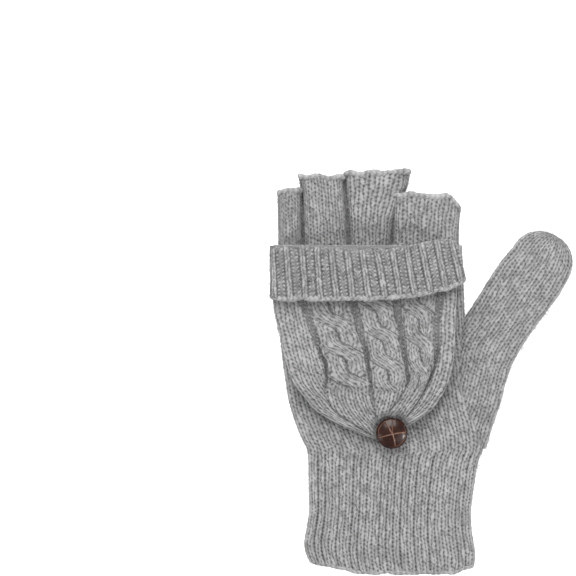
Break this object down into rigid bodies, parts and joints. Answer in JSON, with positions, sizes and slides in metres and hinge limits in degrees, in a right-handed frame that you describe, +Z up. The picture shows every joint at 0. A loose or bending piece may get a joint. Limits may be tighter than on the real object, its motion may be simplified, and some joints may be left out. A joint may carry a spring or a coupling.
{
  "type": "convertible flip-top mitten",
  "caption": "Knitted flip-top mitten lying palm down: open finger stubs, cabled cover folded back and held by a yarn loop on a leather-look button.",
  "frame": {"origin": "on the flat underside of the palm, below the middle of the hand", "axes": "+Y from the wrist to the fingers, +X towards the thumb side, +Z up through the back of the hand"},
  "size_m": [0.1509, 0.2009, 0.0219],
  "materials": {
    "grey_wool": "heather grey stockinette knit, brushed",
    "rib_wool": "heather grey ribbed knit",
    "cable_wool": "heather grey cable knit",
    "edge_wool": "heather grey rolled knit edge",
    "grey_yarn": "twisted grey yarn",
    "button_leather": "glossy dark brown leather"
  },
  "bodies": {
    "hand": {"wrist_cuff": "rib_wool", "cuff_cast_on_edge": "edge_wool", "hand_tube": "grey_wool", "thumb_gusset": "grey_wool", "little_stub": "grey_wool", "little_bound_edge": "edge_wool", "ring_stub": "grey_wool", "ring_bound_edge": "edge_wool", "middle_stub": "grey_wool", "middle_bound_edge": "edge_wool", "index_stub": "grey_wool", "index_bound_edge": "edge_wool", "cover_join_seam": "grey_wool", "button_thread": "grey_yarn", "thread_knot": "grey_yarn"},
    "thumb": {"thumb_tube": "grey_wool"},
    "cover": {"cover_back_panel": "grey_wool", "cover_cable_panel": "cable_wool", "button_loop": "grey_yarn"},
    "band": {"cover_rib_band": "rib_wool", "band_bound_edge": "edge_wool"},
    "button": {"button_head": "button_leather", "button_shank": "button_leather"}
  },
  "joints": [
    {"name": "cover_flip", "type": "hinge", "parent": "hand", "child": "cover", "pos_m": [0, 0.0776, 0.00905], "axis": [-1, 0, 0], "range_deg": [0, 180], "deforming": ["little_stub", "little_bound_edge", "ring_stub", "ring_bound_edge", "middle_stub", "middle_bound_edge", "index_stub", "index_bound_edge", "button_loop"]},
    {"name": "band_turn", "type": "hinge", "parent": "cover", "child": "band", "pos_m": [-0.0125, 0.0778, 0.02015], "axis": [-0.9987, -0.05, 0], "range_deg": [0, 180]},
    {"name": "thumb_swing", "type": "hinge", "parent": "hand", "child": "thumb", "pos_m": [0.0375, 0.0405, 0.004], "axis": [0, 0, 1], "range_deg": [-12, 15], "deforming": ["thumb_gusset"]},
    {"name": "button_turn", "type": "hinge", "parent": "hand", "child": "button", "pos_m": [0.0005, -0.016, 0.011], "axis": [0, 0, 1], "range_deg": [-30, 30]}
  ]
}
